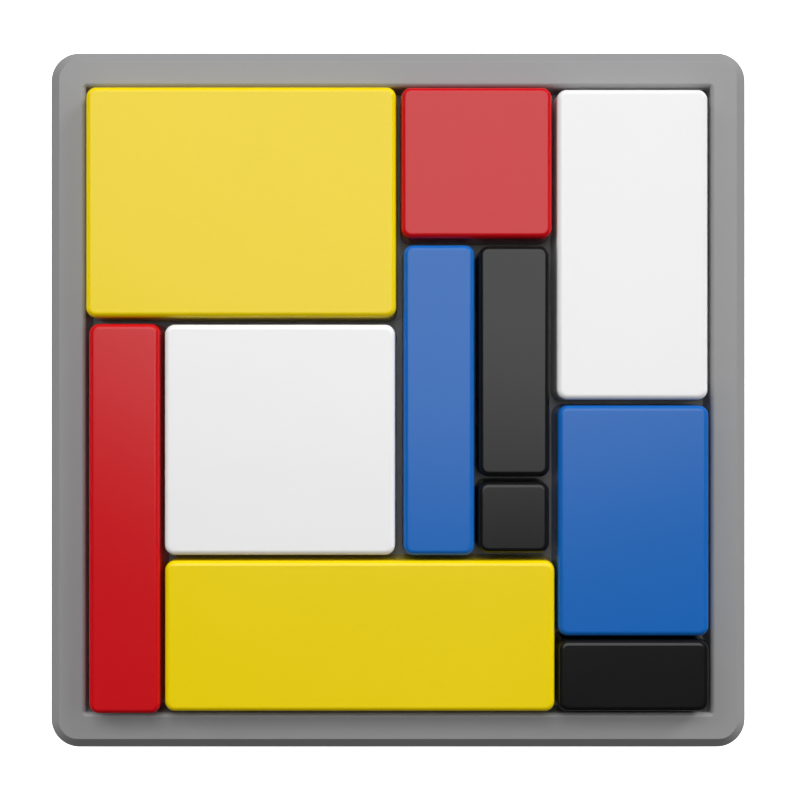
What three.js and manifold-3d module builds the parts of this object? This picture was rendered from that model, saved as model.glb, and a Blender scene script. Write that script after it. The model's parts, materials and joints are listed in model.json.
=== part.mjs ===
// Packing puzzle: eleven loose rectangular blocks that together fill a square tray of 8 x 8 cells.
// Millimetres, +Z up. The origin is on the surface the tray stands on, below the tray's centre.

import * as THREE from 'three';
import { mergeVertices } from 'three/addons/utils/BufferGeometryUtils.js';
import Module from 'manifold-3d';

// ---------------------------------------------------------------- driving dimensions

const PITCH = 16; // one cell of the grid that the blocks are sized by
const CELLS = 8; // cells along each side
const GRID_SIDE = PITCH * CELLS;
const WELL_PLAY = 1.2; // the well's floor is this much smaller than the grid
const WELL_SIDE = GRID_SIDE - WELL_PLAY;

// Heights above the surface that the feet stand on.
const COVER_BOTTOM = 1.5;
const COVER_TOP = 3.5;
const WELL_FLOOR = 8;
const RIM_TOP = 16;

// Tray moulding.
const TRAY_SIDE = 141.6; // outside width, at the lower edge of the rim's chamfer
const TRAY_CORNER = 5.7; // outside corner radius in plan
const TRAY_WALL = 2;
const RIM_CHAMFER = 2;
const SKIRT_DRAFT = 0.2; // how much further out the skirt stands at its foot, on each side
const WELL_WALL = 1.8;
const WELL_CORNER = 0.2; // corner radius of the well's floor in plan
const WELL_DRAFT = 0.1; // how much wider the well is at the rim, on each side
const WELL_LIP = 0.9; // rounding of the rim's inner edge
const COVER_LEDGE = 0.9; // step in the skirt that the cover is pushed against

// Ribs and screw bosses below the floor of the well.
const RIB_WIDTH = 1.2;
const RIB_DEPTH = 1.5;
const BOSS_RADIUS = 3.5;
const BOSS_HOLE_TOP = 7;
const SCREW_PLACE = 50; // the screws' distance from the tray's middle, along X and along Y

// Base cover.
const COVER_GAP = 0.3;
const COVER_CHAMFER = 0.5;
const SCREW_SEAT = 2.75; // height of the face that each screw head bears on

// Screws, M2.5 size, and rubber feet.
const SCREW_RADIUS = 1.1;
const SCREW_LENGTH = 4;
const SCREW_TIP = 0.5;
const HEAD_RADIUS = 2.25;
const HEAD_HEIGHT = 1;
const RECESS_LENGTH = 2.6;
const RECESS_WIDTH = 0.6;
const RECESS_DEPTH = 0.6;
const FOOT_RADIUS = 5;
const FOOT_CHAMFER = 0.5;
const FOOT_HEIGHT = 2;
const FOOT_PLACE = 60; // the feet's distance from the tray's middle, along X and along Y
const FIT = 0.3; // clearance round screws, feet and pins

// Blocks.
const BLOCK_HEIGHT = 12;
const BLOCK_PLAY = 1.15; // a block's foot is this much smaller than its cells
const BLOCK_DRAFT = 0.3; // how much a block's side leans in between its foot and its top edge
const BLOCK_CORNER = 2; // radius of the upright edges, at the top
const BLOCK_EDGE = 1.1; // rounding of the top edge
const BLOCK_WALL = 1.5;
const PLATE_HEIGHT = 1.5;
const PLATE_GAP = 0.25;
const POST_RADIUS = 2.4;
const POST_HOLE_TOP = 8;
const PIN_RADIUS = 1;
const PIN_TOP = 6;

const CORNER_STEPS = 4; // facets in each quarter turn of an outline
const SINK = 0.5; // how far a piece that is joined on reaches into the one it is joined to

// Moulded colours.
const TRAY_GREY = 0x8c8c8c;
const COVER_GREY = 0x7d7d7e;
const YELLOW = 0xe6c800;
const RED = 0xc01820;
const BLUE = 0x1e5fb0;
const WHITE = 0xeeeeee;
const BLACK = 0x1a1a1b;

// The blocks as they lie in the tray. cells: cells across and up. corner: column and row of the
// lower left cell. drift: how far the block has slid from the middle of its cells.
const BLOCKS = [
  { name: 'yellow_4x3', colour: YELLOW, cells: [4, 3], corner: [0, 5], drift: [0.45, -0.3] },
  { name: 'red_2x2', colour: RED, cells: [2, 2], corner: [4, 6], drift: [-0.25, -0.4] },
  { name: 'white_2x4', colour: WHITE, cells: [2, 4], corner: [6, 4], drift: [-0.95, -0.8] },
  { name: 'blue_1x4', colour: BLUE, cells: [1, 4], corner: [4, 2], drift: [0.2, -0.05] },
  { name: 'black_1x3', colour: BLACK, cells: [1, 3], corner: [5, 3], drift: [-0.7, -0.25] },
  { name: 'black_1x1', colour: BLACK, cells: [1, 1], corner: [5, 2], drift: [-0.8, 0.4] },
  { name: 'red_1x5', colour: RED, cells: [1, 5], corner: [0, 0], drift: [1.05, 0.15] },
  { name: 'white_3x3', colour: WHITE, cells: [3, 3], corner: [1, 2], drift: [0.25, 0] },
  { name: 'yellow_5x2', colour: YELLOW, cells: [5, 2], corner: [1, 0], drift: [0.3, 0.6] },
  { name: 'blue_2x3', colour: BLUE, cells: [2, 3], corner: [6, 1], drift: [-0.75, -0.25] },
  { name: 'black_2x1', colour: BLACK, cells: [2, 1], corner: [6, 0], drift: [-0.75, 0.65] },
];

const CORNERS = { back_left: [-1, 1], back_right: [1, 1], front_left: [-1, -1], front_right: [1, -1] };

// ---------------------------------------------------------------- solids

const wasm = await Module();
wasm.setup();

function toSolid(geometry) {
  const bare = geometry.clone();
  bare.deleteAttribute('normal');
  bare.deleteAttribute('uv');
  const merged = mergeVertices(bare, 1e-4);
  const vertProperties = new Float32Array(merged.attributes.position.array);
  const triVerts = new Uint32Array(merged.index.array);
  return new wasm.Manifold(new wasm.Mesh({ numProp: 3, vertProperties, triVerts }));
}

function toGeometry(solid) {
  const { vertProperties, triVerts } = solid.getMesh();
  const geometry = new THREE.BufferGeometry();
  geometry.setAttribute('position', new THREE.BufferAttribute(vertProperties, 3));
  geometry.setIndex(new THREE.BufferAttribute(triVerts, 1));
  geometry.computeVertexNormals();
  return geometry;
}

// A geometry with others joined on and others cut away.
function carve(base, added, removed) {
  let solid = toSolid(base);
  for (const geometry of added) {
    solid = solid.add(toSolid(geometry));
  }
  for (const geometry of removed) {
    solid = solid.subtract(toSolid(geometry));
  }
  return toGeometry(solid);
}

// ---------------------------------------------------------------- shapes

// One level of a loft: a rounded rectangle, by its half widths and corner radius, at a height.
function level(halfX, halfY, radius, z) {
  return { halfX, halfY, radius, z };
}

function square(half, radius, z) {
  return level(half, half, radius, z);
}

// The points of a level, anticlockwise as seen from above.
function outline({ halfX, halfY, radius, z }) {
  const points = [];
  const quarters = [[1, 1], [-1, 1], [-1, -1], [1, -1]];
  quarters.forEach(([signX, signY], quarter) => {
    for (let step = 0; step <= CORNER_STEPS; step += 1) {
      const angle = (quarter + step / CORNER_STEPS) * (Math.PI / 2);
      const x = signX * (halfX - radius) + radius * Math.cos(angle);
      const y = signY * (halfY - radius) + radius * Math.sin(angle);
      points.push(x, y, z);
    }
  });
  return points;
}

// A closed solid through the levels in their order. The first is closed by a face that looks
// down and the last by one that looks up, so the levels run from below the material, round its
// outside, to its top.
function loft(levels) {
  const count = 4 * (CORNER_STEPS + 1);
  const last = count * (levels.length - 1);
  const index = [];
  for (let i = 1; i < count - 1; i += 1) {
    index.push(0, i + 1, i);
    index.push(last, last + i, last + i + 1);
  }
  for (let lower = 0; lower < last; lower += count) {
    for (let i = 0; i < count; i += 1) {
      const next = (i + 1) % count;
      const upper = lower + count;
      index.push(lower + i, lower + next, upper + next);
      index.push(lower + i, upper + next, upper + i);
    }
  }
  const geometry = new THREE.BufferGeometry();
  geometry.setAttribute('position', new THREE.Float32BufferAttribute(levels.flatMap(outline), 3));
  geometry.setIndex(index);
  geometry.computeVertexNormals();
  return geometry;
}

function cylinder(radius, bottom, top, sides, [x, y] = [0, 0]) {
  const geometry = new THREE.CylinderGeometry(radius, radius, top - bottom, sides);
  geometry.rotateX(Math.PI / 2);
  return geometry.translate(x, y, (bottom + top) / 2);
}

function box(sizeX, sizeY, bottom, top, [x, y] = [0, 0]) {
  const geometry = new THREE.BoxGeometry(sizeX, sizeY, top - bottom);
  return geometry.translate(x, y, (bottom + top) / 2);
}

// A solid of revolution about Z, from its profile's radii and heights.
function turned(profile, sides) {
  const points = profile.map(([radius, z]) => new THREE.Vector2(radius, z));
  return new THREE.LatheGeometry(points, sides).rotateX(Math.PI / 2);
}

const cornerPlaces = (distance) => Object.values(CORNERS).map(([x, y]) => [x * distance, y * distance]);

function mesh(name, geometry, colour, roughness, metalness = 0) {
  const material = new THREE.MeshStandardMaterial({ color: colour, roughness, metalness });
  const made = new THREE.Mesh(geometry, material);
  made.name = name;
  return made;
}

// ---------------------------------------------------------------- tray

// The moulding's section, as a loft: under the floor, up and over the hollow of the rim, down the
// inside of the skirt, up its outside, over the rim and down into the well.
function trayLevels() {
  const well = WELL_SIDE / 2;
  const wellBack = well + WELL_WALL;
  const wellBackCorner = WELL_CORNER + WELL_WALL;
  const outer = TRAY_SIDE / 2;
  const skirt = outer - TRAY_WALL;
  const skirtCorner = TRAY_CORNER - TRAY_WALL;
  const underside = WELL_FLOOR - TRAY_WALL;
  const roof = RIM_TOP - TRAY_WALL;
  const mouth = well + WELL_DRAFT;
  const lipMiddle = WELL_LIP * (1 - Math.SQRT1_2);
  return [
    square(wellBack, wellBackCorner, underside),
    square(wellBack, wellBackCorner, roof),
    square(skirt - COVER_LEDGE, skirtCorner - COVER_LEDGE, roof),
    square(skirt - COVER_LEDGE, skirtCorner - COVER_LEDGE, COVER_TOP),
    square(skirt, skirtCorner, COVER_TOP),
    square(skirt, skirtCorner, COVER_BOTTOM),
    square(outer + SKIRT_DRAFT, TRAY_CORNER + SKIRT_DRAFT, COVER_BOTTOM),
    square(outer, TRAY_CORNER, RIM_TOP - RIM_CHAMFER),
    square(outer - RIM_CHAMFER, TRAY_CORNER - RIM_CHAMFER, RIM_TOP),
    square(mouth + WELL_LIP, WELL_CORNER + WELL_LIP, RIM_TOP),
    square(mouth + lipMiddle, WELL_CORNER + lipMiddle, RIM_TOP - lipMiddle),
    square(mouth, WELL_CORNER, RIM_TOP - WELL_LIP),
    square(well, WELL_CORNER, WELL_FLOOR),
  ];
}

function trayRibs() {
  const underside = WELL_FLOOR - TRAY_WALL;
  const ribs = [];
  for (const line of [-GRID_SIDE / 4, 0, GRID_SIDE / 4]) {
    ribs.push(box(RIB_WIDTH, GRID_SIDE, underside - RIB_DEPTH, underside + SINK, [line, 0]));
    ribs.push(box(GRID_SIDE, RIB_WIDTH, underside - RIB_DEPTH, underside + SINK, [0, line]));
  }
  return ribs;
}

function makeTrayBody() {
  const underside = WELL_FLOOR - TRAY_WALL;
  const places = cornerPlaces(SCREW_PLACE);
  const bosses = places.map((place) => cylinder(BOSS_RADIUS, COVER_TOP, underside + SINK, 16, place));
  const holes = places.map((place) => {
    return cylinder(SCREW_RADIUS + FIT, COVER_TOP - SINK, BOSS_HOLE_TOP, 12, place);
  });
  const geometry = carve(loft(trayLevels()), [...trayRibs(), ...bosses], holes);
  return mesh('tray_body', geometry, TRAY_GREY, 0.55);
}

function makeBaseCover() {
  const half = TRAY_SIDE / 2 - TRAY_WALL - COVER_GAP;
  const corner = TRAY_CORNER - TRAY_WALL - COVER_GAP;
  const plate = loft([
    square(half - COVER_CHAMFER, corner - COVER_CHAMFER, COVER_BOTTOM),
    square(half, corner, COVER_BOTTOM + COVER_CHAMFER),
    square(half, corner, COVER_TOP),
  ]);
  const below = COVER_BOTTOM - SINK;
  const cuts = [];
  for (const place of cornerPlaces(SCREW_PLACE)) {
    cuts.push(cylinder(HEAD_RADIUS + FIT, below, SCREW_SEAT, 16, place));
    cuts.push(cylinder(SCREW_RADIUS + FIT, below, COVER_TOP + SINK, 12, place));
  }
  for (const place of cornerPlaces(FOOT_PLACE)) {
    cuts.push(cylinder(FOOT_RADIUS + FIT, below, FOOT_HEIGHT, 24, place));
  }
  return mesh('base_cover', carve(plate, [], cuts), COVER_GREY, 0.6);
}

// A screw that points up, with a cross recess in the underside of its head.
function makeScrew(name, [x, y]) {
  const headBottom = SCREW_SEAT - HEAD_HEIGHT;
  const tip = SCREW_SEAT + SCREW_LENGTH;
  const body = turned([
    [0, headBottom],
    [HEAD_RADIUS, headBottom],
    [HEAD_RADIUS, SCREW_SEAT],
    [SCREW_RADIUS, SCREW_SEAT],
    [SCREW_RADIUS, tip - SCREW_TIP],
    [0, tip],
  ], 12);
  const recess = [
    box(RECESS_LENGTH, RECESS_WIDTH, headBottom - SINK, headBottom + RECESS_DEPTH),
    box(RECESS_WIDTH, RECESS_LENGTH, headBottom - SINK, headBottom + RECESS_DEPTH),
  ];
  const screw = mesh(name, carve(body, [], recess), 0xb8b8ba, 0.35, 1);
  screw.position.set(x, y, 0);
  return screw;
}

function makeFoot(name, [x, y]) {
  const geometry = turned([
    [0, 0],
    [FOOT_RADIUS - FOOT_CHAMFER, 0],
    [FOOT_RADIUS, FOOT_CHAMFER],
    [FOOT_RADIUS, FOOT_HEIGHT],
    [0, FOOT_HEIGHT],
  ], 24);
  const foot = mesh(name, geometry, 0x2a2a2b, 0.9);
  foot.position.set(x, y, 0);
  return foot;
}

function makeTray() {
  const tray = new THREE.Group();
  tray.add(makeTrayBody(), makeBaseCover());
  for (const [corner, [x, y]] of Object.entries(CORNERS)) {
    tray.add(makeScrew(`screw_${corner}`, [x * SCREW_PLACE, y * SCREW_PLACE]));
    tray.add(makeFoot(`foot_${corner}`, [x * FOOT_PLACE, y * FOOT_PLACE]));
  }
  return tray;
}

// ---------------------------------------------------------------- blocks

// Where the posts stand inside a block: one in the middle of a side of one or two cells, and one
// over each end cell of a longer side.
function postPlaces([across, up]) {
  const line = (cells) => (cells < 3 ? [0] : [-(cells - 1) / 2, (cells - 1) / 2]);
  return line(across).flatMap((x) => line(up).map((y) => [x * PITCH, y * PITCH]));
}

// The upper part of a block: an open box with its mouth down, and posts for the plate's pins.
function makeShell({ name, colour, cells }) {
  const [halfX, halfY] = cells.map((count) => (count * PITCH - BLOCK_PLAY) / 2);
  const edgeBottom = BLOCK_HEIGHT - BLOCK_EDGE;
  const edgeMiddle = BLOCK_EDGE * Math.SQRT1_2;
  const ceiling = BLOCK_HEIGHT - BLOCK_WALL;
  const inset = (depth, z) => {
    return level(halfX - depth, halfY - depth, BLOCK_CORNER + BLOCK_DRAFT - depth, z);
  };
  const body = loft([
    inset(BLOCK_WALL + BLOCK_DRAFT, ceiling),
    inset(BLOCK_WALL, 0),
    inset(0, 0),
    inset(BLOCK_DRAFT, edgeBottom),
    inset(BLOCK_DRAFT + BLOCK_EDGE - edgeMiddle, edgeBottom + edgeMiddle),
    inset(BLOCK_DRAFT + BLOCK_EDGE, BLOCK_HEIGHT),
  ]);
  const places = postPlaces(cells);
  const posts = places.map((place) => {
    return cylinder(POST_RADIUS, PLATE_HEIGHT, ceiling + SINK, 12, place);
  });
  const holes = places.map((place) => {
    return cylinder(PIN_RADIUS + FIT, PLATE_HEIGHT - SINK, POST_HOLE_TOP, 10, place);
  });
  return mesh(`${name}_shell`, carve(body, posts, holes), colour, 0.25);
}

// The plate that closes a block from below, with a pin for each post.
function makePlate({ name, colour, cells }) {
  const inset = BLOCK_WALL + PLATE_GAP;
  const [halfX, halfY] = cells.map((count) => (count * PITCH - BLOCK_PLAY) / 2 - inset);
  const corner = BLOCK_CORNER + BLOCK_DRAFT - inset;
  const plate = loft([level(halfX, halfY, corner, 0), level(halfX, halfY, corner, PLATE_HEIGHT)]);
  const pins = postPlaces(cells).map((place) => {
    return cylinder(PIN_RADIUS, PLATE_HEIGHT - SINK, PIN_TOP, 8, place);
  });
  return mesh(`${name}_plate`, carve(plate, pins, []), colour, 0.35);
}

function makeBlock(spec) {
  const block = new THREE.Group();
  block.add(makeShell(spec), makePlate(spec));
  const [x, y] = spec.cells.map((count, axis) => {
    return (spec.corner[axis] + count / 2) * PITCH - GRID_SIDE / 2 + spec.drift[axis];
  });
  block.position.set(x, y, WELL_FLOOR);
  return block;
}

// ---------------------------------------------------------------- puzzle

const puzzle = new THREE.Group();
puzzle.add(makeTray());
for (const spec of BLOCKS) {
  puzzle.add(makeBlock(spec));
}

export default puzzle;
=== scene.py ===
"""Packing puzzle: eleven glossy plastic blocks in a grey tray, seen from straight above.

The CAD frame gives every place and outside size. Each visible piece is rebuilt here with fine rounded
edges and stands for its CAD node. Metres, +Z up.
"""

import json
import math

import bmesh
import bpy
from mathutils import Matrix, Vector

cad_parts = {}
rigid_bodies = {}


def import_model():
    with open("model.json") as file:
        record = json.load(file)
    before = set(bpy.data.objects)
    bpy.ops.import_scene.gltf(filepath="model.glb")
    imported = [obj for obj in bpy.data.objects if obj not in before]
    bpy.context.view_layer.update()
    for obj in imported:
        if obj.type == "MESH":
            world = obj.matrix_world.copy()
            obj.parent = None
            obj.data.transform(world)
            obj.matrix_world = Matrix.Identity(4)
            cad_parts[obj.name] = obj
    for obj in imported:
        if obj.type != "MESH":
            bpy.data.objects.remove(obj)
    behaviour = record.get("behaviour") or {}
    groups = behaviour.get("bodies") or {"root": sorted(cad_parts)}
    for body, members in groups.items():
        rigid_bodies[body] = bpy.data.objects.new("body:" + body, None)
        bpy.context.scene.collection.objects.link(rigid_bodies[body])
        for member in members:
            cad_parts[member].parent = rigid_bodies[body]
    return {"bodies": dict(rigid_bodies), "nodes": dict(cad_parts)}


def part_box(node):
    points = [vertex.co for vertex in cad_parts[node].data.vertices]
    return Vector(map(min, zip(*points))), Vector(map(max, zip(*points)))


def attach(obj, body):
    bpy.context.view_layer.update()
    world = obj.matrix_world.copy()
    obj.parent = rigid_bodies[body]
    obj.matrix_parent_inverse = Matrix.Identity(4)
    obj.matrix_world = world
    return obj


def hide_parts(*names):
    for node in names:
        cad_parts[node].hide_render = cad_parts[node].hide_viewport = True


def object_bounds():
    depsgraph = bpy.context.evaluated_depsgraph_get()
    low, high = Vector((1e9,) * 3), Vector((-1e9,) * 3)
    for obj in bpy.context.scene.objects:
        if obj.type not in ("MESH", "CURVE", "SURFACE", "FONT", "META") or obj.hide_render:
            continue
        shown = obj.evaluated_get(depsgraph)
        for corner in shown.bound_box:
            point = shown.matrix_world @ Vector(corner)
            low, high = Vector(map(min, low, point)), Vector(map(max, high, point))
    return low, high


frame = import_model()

MM = 0.001
cad_low, cad_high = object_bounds()

# ---------------------------------------------------------------- sizes

PITCH = 16 * MM  # of the grid of cells that the blocks fill
GRID_HALF = 4 * PITCH

TRAY_CORNER = 5.7 * MM
TRAY_WALL = 2 * MM
TRAY_HOLLOW_EDGE = 0.3 * MM
SKIRT_DRAFT = 0.2 * MM
SKIRT_INNER_EDGE = 0.2 * MM
SKIRT_OUTER_EDGE = 0.5 * MM
RIM_CHAMFER = 2 * MM
CHAMFER_LOWER_EDGE = 0.6 * MM
CHAMFER_UPPER_EDGE = 0.25 * MM
WELL_HALF = 63.4 * MM
WELL_FLOOR = 8 * MM
WELL_CORNER = 0.2 * MM
WELL_DRAFT = 0.1 * MM
WELL_LIP = 0.9 * MM
WELL_WALL = 1.8 * MM
WELL_FLOOR_EDGE = 0.15 * MM  # less than the well's corner, or the floor folds over itself there
RIB_WIDTH = 1.2 * MM
RIB_DEPTH = 1.5 * MM
BOSS_RADIUS = 3.5 * MM
BOSS_HOLE_TOP = 7 * MM

COVER_LEDGE = 0.9 * MM
COVER_TOP = 3.5 * MM
COVER_LOWER_EDGE = 0.5 * MM
COVER_UPPER_EDGE = 0.15 * MM

HEAD_HEIGHT = 1 * MM
HEAD_POLE = 0.05 * MM  # radius of the small flat at the middle of the head
HEAD_EDGE = 0.6 * MM
SEAT_EDGE = 0.1 * MM
RECESS_LENGTH = 2.6 * MM
RECESS_WIDTH = 0.6 * MM
RECESS_DEPTH = 0.6 * MM
SCREW_SHANK = 1.1 * MM
THREAD_PITCH = 0.9 * MM
THREAD_DEPTH = 0.25 * MM
THREAD_HALF_WIDTH = 0.3 * MM
TIP_LENGTH = 0.5 * MM
TIP_RADIUS = 0.3 * MM

FOOT_LOWER_EDGE = 0.5 * MM
FOOT_UPPER_EDGE = 0.15 * MM
GRIP_DEPTH = 0.25 * MM
GRIP_EDGE = 0.1 * MM
GRIP_INNER = (0.45, 0.5)  # of the foot's radius, at the groove's mouth and at its bottom
GRIP_OUTER = (0.67, 0.62)

BLOCK_PLAY = 1.15 * MM  # how much narrower a block is than its cells
BLOCK_CORNER = 2 * MM
BLOCK_DRAFT = 0.3 * MM
BLOCK_EDGE = 1.1 * MM
BLOCK_FOOT_EDGE = 0.25 * MM
BLOCK_WALL = 1.5 * MM
BLOCK_HOLLOW_EDGE = 0.3 * MM
BLOCK_MOUTH_EDGE = 0.1 * MM
PLATE_TOP = 1.5 * MM
PLATE_INSET = 1.75 * MM
PLATE_LOWER_EDGE = 0.2 * MM
PLATE_UPPER_EDGE = 0.1 * MM
POST_RADIUS = 2.4 * MM
POST_HOLE_TOP = 8 * MM
PIN_RADIUS = 1 * MM
PIN_TOP = 6 * MM

FIT = 0.3 * MM  # clearance round a shank, a head, a foot or a pin
SINK = 0.4 * MM  # how far a joined or cutting shape reaches past the surface it meets
FAR = 1.0  # a guide point for the direction of a flat face
CORNER_STEPS = 14
ARC_STEPS = 7
TURNED_SIDES = 48
SHARP_ANGLE = math.radians(50)

# ---------------------------------------------------------------- surfaces, stage and camera

BLOCK_COLOURS = {
    "yellow": (0.8, 0.6, 0.0),
    "red": (0.54, 0.004, 0.008),
    "blue": (0.006, 0.117, 0.44),
    "white": (0.8, 0.8, 0.8),
    "black": (0.007, 0.007, 0.007),
}
TRAY_COLOUR = (0.277, 0.277, 0.282)
COVER_COLOUR = (0.22, 0.22, 0.223)
RUBBER_COLOUR = (0.02, 0.02, 0.021)
STEEL_COLOUR = (0.62, 0.62, 0.63)
BLOCK_ROUGHNESS = 0.22
TRAY_ROUGHNESS = 0.35
COVER_ROUGHNESS = 0.5
RUBBER_ROUGHNESS = 0.75
STEEL_ROUGHNESS = 0.3

FLOW_SIZE = 22 * MM  # of the patches where the melt ran thicker or thinner
BLOCK_SHADE = 0.015
TRAY_SHADE = 0.03
BLOCK_GRAIN = 0.5 * MM
BLOCK_GRAIN_HEIGHT = 0.0006 * MM
TRAY_GRAIN = 0.16 * MM
TRAY_GRAIN_HEIGHT = 0.006 * MM
STEEL_MARKS = 0.3 * MM
STEEL_MARKS_HEIGHT = 0.01 * MM

STAGE_RADIUS = 8
STAGE_COLOUR = (0.9, 0.9, 0.9, 1)
STAGE_ROUGHNESS = 0.9
STAGE_GLOW = 1
WHITE = (1, 1, 1, 1)
WORLD_STRENGTH = 0.03
LAMP_DISTANCE = 3
LAMP_RADIUS = 0.64

CAMERA_ABOVE_BLOCKS = 327 * MM
CAMERA_ASIDE = 0.39 * MM
VIEW_WIDTH = 160.4 * MM  # width of the view at the height of the blocks' tops
SENSOR = 36
CLIP_START = 0.01
CLIP_END = 20


# ---------------------------------------------------------------- mesh tools

def rounded(points):
    """The inner points of a section with their corners rounded. points: (radius, z, rounding)."""
    made = []
    for before, corner, after in zip(points, points[1:], points[2:]):
        here = Vector(corner[:2])
        rounding = corner[2]
        if rounding == 0:
            made.append(tuple(here))
            continue
        back = (Vector(before[:2]) - here).normalized()
        ahead = (Vector(after[:2]) - here).normalized()
        half = back.angle(ahead) / 2
        middle = here + (back + ahead).normalized() * rounding / math.sin(half)
        start = here + back * rounding / math.tan(half) - middle
        end = here + ahead * rounding / math.tan(half) - middle
        turn = start.angle(end)
        for step in range(ARC_STEPS + 1):
            part = step / ARC_STEPS
            share = math.sin((1 - part) * turn) * start + math.sin(part * turn) * end
            made.append(tuple(middle + share / math.sin(turn)))
    return made


def ring(centre, radius, z):
    """Points at a radius round the four corner centres of a rounded rectangle, anticlockwise."""
    made = []
    for quarter, (side_x, side_y) in enumerate(((1, 1), (-1, 1), (-1, -1), (1, -1))):
        for step in range(CORNER_STEPS + 1):
            angle = (quarter + step / CORNER_STEPS) * math.pi / 2
            x = side_x * centre[0] + radius * math.cos(angle)
            y = side_y * centre[1] + radius * math.sin(angle)
            made.append((x, y, z))
    return made


def stitch(rings):
    """A closed mesh through rings of equally many points, its first and last ring filled in."""
    shape = bmesh.new()
    loops = [[shape.verts.new(point) for point in points] for points in rings]
    for lower, upper in zip(loops, loops[1:]):
        for i, vertex in enumerate(lower):
            following = (i + 1) % len(lower)
            shape.faces.new((vertex, lower[following], upper[following], upper[i]))
    shape.faces.new(reversed(loops[0]))
    shape.faces.new(loops[-1])
    return shape


def loft(sections, at=(0, 0, 0)):
    """A solid through sections, each a pair of corner centre and (radius, z) points."""
    rings = []
    for centre, points in sections:
        rings += [ring(centre, radius, z) for radius, z in points]
    shape = stitch(rings)
    bmesh.ops.translate(shape, verts=shape.verts, vec=at)
    return shape


def turned(points, at=(0, 0, 0)):
    """A solid of revolution from (radius, z) points, with flat ends."""
    angles = [2 * math.pi * side / TURNED_SIDES for side in range(TURNED_SIDES)]
    rings = [[(r * math.cos(a), r * math.sin(a), z) for a in angles] for r, z in points]
    shape = stitch(rings)
    bmesh.ops.translate(shape, verts=shape.verts, vec=at)
    return shape


def cylinder(radius, bottom, top, at=(0, 0, 0)):
    """An upright cylinder between two heights."""
    return turned([(radius, bottom), (radius, top)], at)


def bar(size_x, size_y, bottom, top, at=(0, 0, 0)):
    """A square-cornered bar between two heights."""
    shape = bmesh.new()
    bmesh.ops.create_cube(shape, size=1)
    bmesh.ops.scale(shape, verts=shape.verts, vec=(size_x, size_y, top - bottom))
    place = Vector(at) + Vector((0, 0, (bottom + top) / 2))
    bmesh.ops.translate(shape, verts=shape.verts, vec=place)
    return shape


def to_object(name, shape):
    """An object of a shape, which is used up."""
    bmesh.ops.recalc_face_normals(shape, faces=shape.faces)
    mesh = bpy.data.meshes.new(name)
    shape.to_mesh(mesh)
    shape.free()
    made = bpy.data.objects.new(name, mesh)
    bpy.context.scene.collection.objects.link(made)
    return made


def carve(name, base, joined=(), cut=()):
    """An object of the base shape with others joined on and others cut away."""
    made = to_object(name, base)
    helpers = []
    for operation, shapes in (("UNION", joined), ("DIFFERENCE", cut)):
        for shape in shapes:
            helper = to_object("helper", shape)
            step = made.modifiers.new(operation, "BOOLEAN")
            step.operation = operation
            step.solver = "EXACT"
            step.object = helper
            helpers.append(helper)
    bpy.context.view_layer.update()
    seen = made.evaluated_get(bpy.context.evaluated_depsgraph_get())
    mesh = bpy.data.meshes.new_from_object(seen)
    made.modifiers.clear()
    old = made.data
    made.data = mesh
    bpy.data.meshes.remove(old)
    mesh.name = name
    for helper in helpers:
        bpy.data.meshes.remove(helper.data)
    return made


def finish_piece(piece, body, node, slot):
    """Smooth shading with crisp flats, the material, and the piece's place in the frame."""
    piece.data.materials.clear()
    piece.data.materials.append(materials[slot])
    piece.data.shade_smooth()
    piece.data.set_sharp_from_angle(angle=SHARP_ANGLE)
    crisp = piece.modifiers.new("crisp_flats", "WEIGHTED_NORMAL")
    crisp.keep_sharp = True
    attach(piece, body)
    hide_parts(node)


# ---------------------------------------------------------------- materials

def new_material(name):
    """A material and its shader."""
    material = bpy.data.materials.new(name)
    material.use_nodes = True
    return material, material.node_tree.nodes["Principled BSDF"]


def noise(material, size, detail):
    """The strength of a noise pattern fixed to the object, its features about size across."""
    nodes = material.node_tree.nodes
    place = nodes.new("ShaderNodeTexCoord")
    pattern = nodes.new("ShaderNodeTexNoise")
    pattern.inputs["Scale"].default_value = 1 / size
    pattern.inputs["Detail"].default_value = detail
    material.node_tree.links.new(place.outputs["Object"], pattern.inputs["Vector"])
    return pattern.outputs["Fac"]


def vary(material, pattern, colours, roughnesses):
    """Let the colour and the roughness follow a pattern, each between two values."""
    nodes = material.node_tree.nodes
    links = material.node_tree.links
    shader = nodes["Principled BSDF"]
    tint = nodes.new("ShaderNodeMix")
    tint.data_type = "RGBA"
    tint.inputs["A"].default_value = (*colours[0], 1)
    tint.inputs["B"].default_value = (*colours[1], 1)
    links.new(pattern, tint.inputs["Factor"])
    links.new(tint.outputs["Result"], shader.inputs["Base Color"])
    gloss = nodes.new("ShaderNodeMapRange")
    gloss.inputs["To Min"].default_value = roughnesses[0]
    gloss.inputs["To Max"].default_value = roughnesses[1]
    links.new(pattern, gloss.inputs["Value"])
    links.new(gloss.outputs["Result"], shader.inputs["Roughness"])


def emboss(material, pattern, height):
    """Raise the surface's shading by a pattern, up to a height."""
    nodes = material.node_tree.nodes
    links = material.node_tree.links
    bump = nodes.new("ShaderNodeBump")
    bump.inputs["Strength"].default_value = 1
    bump.inputs["Distance"].default_value = height
    links.new(pattern, bump.inputs["Height"])
    links.new(bump.outputs["Normal"], nodes["Principled BSDF"].inputs["Normal"])


def plastic(name, colour, roughness, grain, grain_height, shade=TRAY_SHADE):
    """Moulded plastic: slightly uneven colour and gloss, and a fine skin texture.

    grain is the size of the texture's bumps, grain_height their height, and shade how much
    darker or lighter the colour gets with the flow of the melt.
    """
    material, _ = new_material(name)
    dark = [part * (1 - shade) for part in colour]
    light = [min(1, part * (1 + shade)) for part in colour]
    flow = noise(material, FLOW_SIZE, 3)
    vary(material, flow, (dark, light), (roughness * 0.9, roughness * 1.1))
    emboss(material, noise(material, grain, 2), grain_height)
    return material


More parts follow.
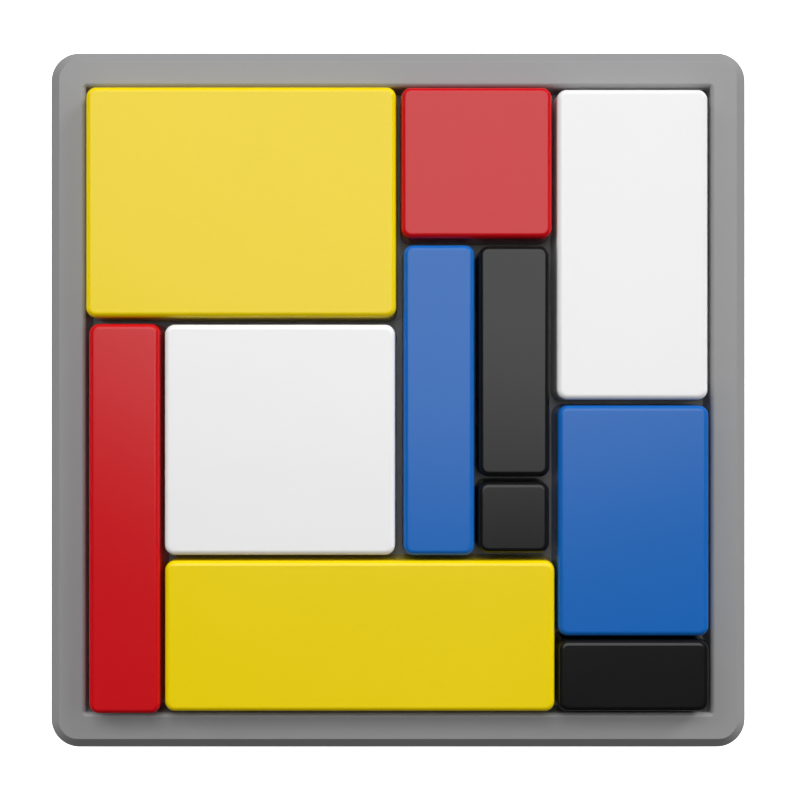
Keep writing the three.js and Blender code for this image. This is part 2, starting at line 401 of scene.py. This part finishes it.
def metal(name, colour, roughness):
    """Plated steel with fine turning marks."""
    material, shader = new_material(name)
    shader.inputs["Metallic"].default_value = 1
    dark = [part * 0.85 for part in colour]
    marks = noise(material, STEEL_MARKS, 4)
    vary(material, marks, (dark, colour), (roughness * 0.7, roughness * 1.3))
    emboss(material, marks, STEEL_MARKS_HEIGHT)
    return material


materials = {}
for block_colour, value in BLOCK_COLOURS.items():
    slot_name = f"{block_colour}_plastic"
    materials[slot_name] = plastic(
        slot_name, value, BLOCK_ROUGHNESS, BLOCK_GRAIN, BLOCK_GRAIN_HEIGHT, shade=BLOCK_SHADE
    )
for slot_name, value, roughness, height in (
    ("tray_plastic", TRAY_COLOUR, TRAY_ROUGHNESS, TRAY_GRAIN_HEIGHT),
    ("cover_plastic", COVER_COLOUR, COVER_ROUGHNESS, TRAY_GRAIN_HEIGHT),
    ("foot_rubber", RUBBER_COLOUR, RUBBER_ROUGHNESS, 2 * TRAY_GRAIN_HEIGHT),
):
    materials[slot_name] = plastic(slot_name, value, roughness, TRAY_GRAIN, height)
materials["screw_steel"] = metal("screw_steel", STEEL_COLOUR, STEEL_ROUGHNESS)


# ---------------------------------------------------------------- tray

tray_low, tray_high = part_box("tray_body")
RIM_TOP = tray_high.z
TRAY_BOTTOM = tray_low.z
OUTER_HALF = tray_high.x - SKIRT_DRAFT
OUTER_CENTRE = (OUTER_HALF - TRAY_CORNER,) * 2
WELL_CENTRE = (WELL_HALF - WELL_CORNER,) * 2
SCREWS = [name for name in frame["nodes"] if name.startswith("screw_")]
FEET = [name for name in frame["nodes"] if name.startswith("foot_")]


def on_plan(node):
    """The middle of a node's box, at the height of the ground."""
    low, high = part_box(node)
    point = (low + high) / 2
    return (point.x, point.y, 0)


def reach(node):
    """Half of a round node's width."""
    low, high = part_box(node)
    return (high.x - low.x) / 2


def make_tray():
    """The tray: a section from the hollow underside round the skirt and rim down into the well."""
    underside = WELL_FLOOR - TRAY_WALL
    roof = RIM_TOP - TRAY_WALL
    hollow = WELL_CORNER + WELL_WALL
    skirt = TRAY_CORNER - TRAY_WALL
    sections = [
        (WELL_CENTRE, [(hollow, underside), (hollow, roof)]),
        (OUTER_CENTRE, rounded([
            (-FAR, roof, 0),
            (skirt - COVER_LEDGE, roof, TRAY_HOLLOW_EDGE),
            (skirt - COVER_LEDGE, COVER_TOP, 0),
            (skirt, COVER_TOP, 0),
            (skirt, TRAY_BOTTOM, SKIRT_INNER_EDGE),
            (TRAY_CORNER + SKIRT_DRAFT, TRAY_BOTTOM, SKIRT_OUTER_EDGE),
            (TRAY_CORNER, RIM_TOP - RIM_CHAMFER, CHAMFER_LOWER_EDGE),
            (TRAY_CORNER - RIM_CHAMFER, RIM_TOP, CHAMFER_UPPER_EDGE),
            (-FAR, RIM_TOP, 0),
        ])),
        (WELL_CENTRE, rounded([
            (FAR, RIM_TOP, 0),
            (WELL_CORNER + WELL_DRAFT, RIM_TOP, WELL_LIP),
            (WELL_CORNER, WELL_FLOOR, WELL_FLOOR_EDGE),
            (-FAR, WELL_FLOOR, 0),
        ])),
    ]
    ribs = []
    for line in (-GRID_HALF / 2, 0, GRID_HALF / 2):
        span = (underside - RIB_DEPTH, underside + SINK)
        ribs.append(bar(RIB_WIDTH, 2 * WELL_HALF, *span, at=(line, 0, 0)))
        ribs.append(bar(2 * WELL_HALF, RIB_WIDTH, *span, at=(0, line, 0)))
    bosses = []
    holes = []
    for node in SCREWS:
        at = on_plan(node)
        bosses.append(cylinder(BOSS_RADIUS, COVER_TOP, underside + SINK, at))
        holes.append(cylinder(SCREW_SHANK + FIT, COVER_TOP - SINK, BOSS_HOLE_TOP, at))
    tray = carve("tray_moulding", loft(sections), ribs + bosses, holes)
    finish_piece(tray, "tray", "tray_body", "tray_plastic")


def make_cover():
    """The plate under the tray, with seats for the screws' heads and pockets for the feet."""
    low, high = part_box("base_cover")
    radius = high.x - OUTER_CENTRE[0]
    section = rounded([
        (-FAR, low.z, 0),
        (radius, low.z, COVER_LOWER_EDGE),
        (radius, high.z, COVER_UPPER_EDGE),
        (-FAR, high.z, 0),
    ])
    cuts = []
    for node in SCREWS:
        at = on_plan(node)
        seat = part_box(node)[0].z + HEAD_HEIGHT
        cuts.append(cylinder(reach(node) + FIT, low.z - SINK, seat, at))
        cuts.append(cylinder(SCREW_SHANK + FIT, low.z - SINK, high.z + SINK, at))
    for node in FEET:
        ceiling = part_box(node)[1].z
        cuts.append(cylinder(reach(node) + FIT, low.z - SINK, ceiling, on_plan(node)))
    cover = carve("underside_cover", loft([(OUTER_CENTRE, section)]), cut=cuts)
    finish_piece(cover, "tray", "base_cover", "cover_plastic")


def make_screw(node):
    """A pan-head screw that points up: recessed head, ridged shank and a blunt tip."""
    low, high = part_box(node)
    seat = low.z + HEAD_HEIGHT
    profile = [(HEAD_POLE, low.z)] + rounded([
        (0, low.z, 0),
        (reach(node), low.z, HEAD_EDGE),
        (reach(node), seat, SEAT_EDGE),
        (0, seat, 0),
    ])
    core = SCREW_SHANK - THREAD_DEPTH
    profile.append((core, seat))
    z = seat + THREAD_PITCH / 2
    while z < high.z - THREAD_PITCH:
        profile.append((core, z - THREAD_HALF_WIDTH))
        profile.append((SCREW_SHANK, z))
        profile.append((core, z + THREAD_HALF_WIDTH))
        z += THREAD_PITCH
    profile += [(core, high.z - TIP_LENGTH), (TIP_RADIUS, high.z)]
    depth = (low.z - SINK, low.z + RECESS_DEPTH)
    recess = [
        bar(RECESS_LENGTH, RECESS_WIDTH, *depth, on_plan(node)),
        bar(RECESS_WIDTH, RECESS_LENGTH, *depth, on_plan(node)),
    ]
    screw = carve(f"{node}_steel", turned(profile, on_plan(node)), cut=recess)
    finish_piece(screw, "tray", node, "screw_steel")


def make_foot(node):
    """A rubber pad with a rounded edge and a shallow grip groove in its underside."""
    low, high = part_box(node)
    radius = reach(node)
    profile = rounded([
        (0, low.z, 0),
        (GRIP_INNER[0] * radius, low.z, 0),
        (GRIP_INNER[1] * radius, low.z + GRIP_DEPTH, GRIP_EDGE),
        (GRIP_OUTER[1] * radius, low.z + GRIP_DEPTH, GRIP_EDGE),
        (GRIP_OUTER[0] * radius, low.z, 0),
        (radius, low.z, FOOT_LOWER_EDGE),
        (radius, high.z, FOOT_UPPER_EDGE),
        (0, high.z, 0),
    ])
    foot = to_object(f"{node}_pad", turned(profile, on_plan(node)))
    finish_piece(foot, "tray", node, "foot_rubber")


# ---------------------------------------------------------------- blocks

def post_places(low, high):
    """The posts' places in plan, relative to the block's middle."""
    lines = []
    for size in (high.x - low.x, high.y - low.y):
        cells = round((size + BLOCK_PLAY) / PITCH)
        offset = (cells - 1) / 2 * PITCH
        lines.append([0] if cells < 3 else [-offset, offset])
    return [(x, y) for x in lines[0] for y in lines[1]]


def make_block(name):
    """A block: a hollow shell with posts, and the plate with pins that closes it from below."""
    low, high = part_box(f"{name}_shell")
    at = Vector(((low.x + high.x) / 2, (low.y + high.y) / 2, low.z))
    foot = BLOCK_CORNER + BLOCK_DRAFT
    centre = ((high.x - low.x) / 2 - foot, (high.y - low.y) / 2 - foot)
    height = high.z - low.z
    ceiling = height - BLOCK_WALL
    shell_section = rounded([
        (-FAR, ceiling, 0),
        (foot - BLOCK_WALL - BLOCK_DRAFT, ceiling, BLOCK_HOLLOW_EDGE),
        (foot - BLOCK_WALL, 0, BLOCK_MOUTH_EDGE),
        (foot, 0, BLOCK_FOOT_EDGE),
        (BLOCK_CORNER, height, BLOCK_EDGE),
        (-FAR, height, 0),
    ])
    posts = []
    holes = []
    pins = []
    for x, y in post_places(low, high):
        place = at + Vector((x, y, 0))
        posts.append(cylinder(POST_RADIUS, PLATE_TOP, ceiling + SINK, place))
        holes.append(cylinder(PIN_RADIUS + FIT, PLATE_TOP - SINK, POST_HOLE_TOP, place))
        pins.append(cylinder(PIN_RADIUS, PLATE_TOP - SINK, PIN_TOP, place))
    shell = carve(f"{name}_top", loft([(centre, shell_section)], at), posts, holes)
    edge = foot - PLATE_INSET
    plate_section = rounded([
        (-FAR, 0, 0),
        (edge, 0, PLATE_LOWER_EDGE),
        (edge, PLATE_TOP, PLATE_UPPER_EDGE),
        (-FAR, PLATE_TOP, 0),
    ])
    plate = carve(f"{name}_bottom", loft([(centre, plate_section)], at), pins)
    slot = f"{name.split('_')[0]}_plastic"
    finish_piece(shell, name, f"{name}_shell", slot)
    finish_piece(plate, name, f"{name}_plate", slot)


make_tray()
make_cover()
for screw_node in SCREWS:
    make_screw(screw_node)
for foot_node in FEET:
    make_foot(foot_node)
for block in frame["bodies"]:
    if block != "tray":
        make_block(block)


# ---------------------------------------------------------------- stage, lights and camera

def make_stage():
    """A floor and a dome round it, both evenly white, that the camera sees and the object doesn't."""
    material, shader = new_material("stage")
    shader.inputs["Base Color"].default_value = STAGE_COLOUR
    shader.inputs["Roughness"].default_value = STAGE_ROUGHNESS
    shader.inputs["Emission Color"].default_value = WHITE
    shader.inputs["Emission Strength"].default_value = STAGE_GLOW
    floor = bmesh.new()
    bmesh.ops.create_grid(floor, x_segments=8, y_segments=8, size=STAGE_RADIUS)
    dome = bmesh.new()
    bmesh.ops.create_uvsphere(dome, u_segments=48, v_segments=24, radius=STAGE_RADIUS)
    for name, shape in (("floor", floor), ("dome", dome)):
        piece = to_object(name, shape)
        piece.data.materials.append(material)
        piece.visible_diffuse = False
        piece.visible_glossy = False
        piece.visible_shadow = False


def make_lamp(name, tilt, turn, radiance, distance=LAMP_DISTANCE, radius=LAMP_RADIUS, glints=False):
    """A round soft lamp that looks at the object.

    tilt is its direction from straight up and turn its direction in plan, in degrees. Only a
    lamp with glints shows in reflections.
    """
    tilt = math.radians(tilt)
    turn = math.radians(turn)
    aim = Vector((math.sin(tilt) * math.cos(turn), math.sin(tilt) * math.sin(turn), math.cos(tilt)))
    data = bpy.data.lights.new(name, "AREA")
    data.shape = "DISK"
    data.size = 2 * radius
    data.energy = radiance * math.pi * math.pi * radius ** 2
    lamp = bpy.data.objects.new(name, data)
    lamp.visible_glossy = glints
    lamp.location = Vector((0, 0, cad_high.z)) + distance * aim
    lamp.rotation_euler = aim.to_track_quat("Z", "Y").to_euler()
    bpy.context.scene.collection.objects.link(lamp)


def make_world():
    """A faint even light from all round."""
    world = bpy.data.worlds.new("studio")
    world.use_nodes = True
    back = world.node_tree.nodes["Background"]
    back.inputs["Color"].default_value = WHITE
    back.inputs["Strength"].default_value = WORLD_STRENGTH
    world.cycles_visibility.glossy = False
    bpy.context.scene.world = world


def make_camera():
    """A camera that looks straight down, close enough to show the blocks' sides."""
    data = bpy.data.cameras.new("camera")
    data.sensor_width = SENSOR
    data.lens = SENSOR * CAMERA_ABOVE_BLOCKS / VIEW_WIDTH
    data.clip_start = CLIP_START
    data.clip_end = CLIP_END
    camera = bpy.data.objects.new("camera", data)
    camera.location = (CAMERA_ASIDE, 0, cad_high.z + CAMERA_ABOVE_BLOCKS)
    bpy.context.scene.collection.objects.link(camera)
    bpy.context.scene.camera = camera


make_stage()
make_world()
make_lamp("overhead", tilt=25, turn=83, radiance=2.02, distance=1.6, radius=0.86, glints=True)
make_lamp("key", tilt=24, turn=92, radiance=1.2)
make_lamp("back", tilt=50, turn=96, radiance=3.8)
make_lamp("back_left", tilt=62, turn=135, radiance=6)
make_lamp("back_right", tilt=71, turn=45, radiance=12.4)
make_lamp("right", tilt=60, turn=0, radiance=2.4)
make_lamp("low_right", tilt=84, turn=0, radiance=4)
make_lamp("low_left", tilt=84, turn=180, radiance=6)
make_lamp("front", tilt=22, turn=270, radiance=0.8)
make_lamp("below_front", tilt=130, turn=270, radiance=7)
make_camera()
bpy.context.scene.view_settings.view_transform = "Standard"
